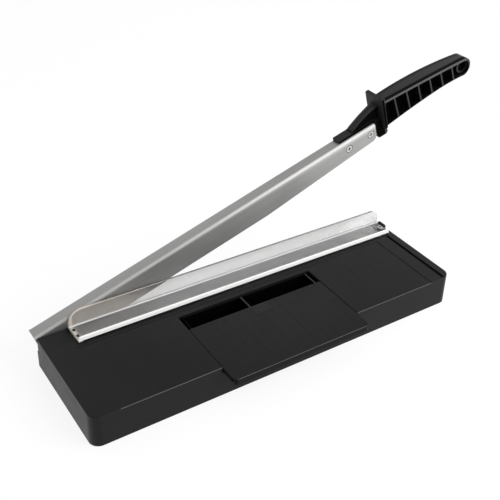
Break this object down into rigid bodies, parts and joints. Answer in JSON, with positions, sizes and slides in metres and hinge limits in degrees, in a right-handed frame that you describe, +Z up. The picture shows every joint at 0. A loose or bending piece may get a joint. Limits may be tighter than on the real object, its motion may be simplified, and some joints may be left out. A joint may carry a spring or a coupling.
{
  "type": "paper cutter",
  "caption": "Desk paper cutter: black base with a sliding lid over a storage bin, clear paper guard, and a steel blade arm with a ribbed grip hinged at one end.",
  "frame": {"origin": "on the table, under the middle of the deck", "axes": "+X along the cutting edge towards the handle, +Y from the front face towards the blade, +Z up"},
  "size_m": [0.4767, 0.1483, 0.2016],
  "materials": {
    "black_plastic": "fine matte moulded black",
    "handle_plastic": "semi-gloss moulded black",
    "blade_steel": "satin rolled steel with a bright bend",
    "clear_plastic": "clear extruded plastic",
    "plated_steel": "zinc-plated steel",
    "bush_brass": "turned brass",
    "foot_rubber": "dull black rubber"
  },
  "bodies": {
    "base": {"base_shell": "black_plastic", "bed_knife": "blade_steel", "bed_screw_1": "plated_steel", "bed_screw_2": "plated_steel", "bed_screw_3": "plated_steel", "bed_screw_4": "plated_steel", "bed_screw_5": "plated_steel", "bin_screw_1": "plated_steel", "bin_screw_2": "plated_steel", "bin_screw_3": "plated_steel", "bin_screw_4": "plated_steel", "bottom_plate": "black_plastic", "bottom_screw_1": "plated_steel", "bottom_screw_2": "plated_steel", "bottom_screw_3": "plated_steel", "bottom_screw_4": "plated_steel", "bottom_screw_5": "plated_steel", "bottom_screw_6": "plated_steel", "bracket_screw_1": "plated_steel", "bracket_screw_2": "plated_steel", "end_rail": "black_plastic", "guard": "clear_plastic", "guard_end_post": "black_plastic", "guard_screw": "plated_steel", "pivot_bolt": "plated_steel", "pivot_bracket": "plated_steel", "pivot_bush": "bush_brass", "pivot_nut": "plated_steel", "pivot_spring_washer": "plated_steel", "pivot_washer": "plated_steel", "rubber_foot_1": "foot_rubber", "rubber_foot_2": "foot_rubber", "rubber_foot_3": "foot_rubber", "rubber_foot_4": "foot_rubber", "storage_bin": "black_plastic"},
    "lid": {"storage_lid": "black_plastic"},
    "arm": {"blade_arm": "blade_steel", "handle": "handle_plastic", "handle_nut_1": "plated_steel", "handle_nut_2": "plated_steel", "handle_screw_1": "plated_steel", "handle_screw_2": "plated_steel"}
  },
  "joints": [
    {"name": "lid_slide", "type": "slide", "parent": "base", "child": "lid", "axis": [0, -1, 0], "range_m": [-0.0185, 0.0297]},
    {"name": "arm_hinge", "type": "hinge", "parent": "base", "child": "arm", "pos_m": [-0.1779, 0.0563, 0.0243], "axis": [0, -1, 0], "range_deg": [-18.41, 41.59]}
  ]
}
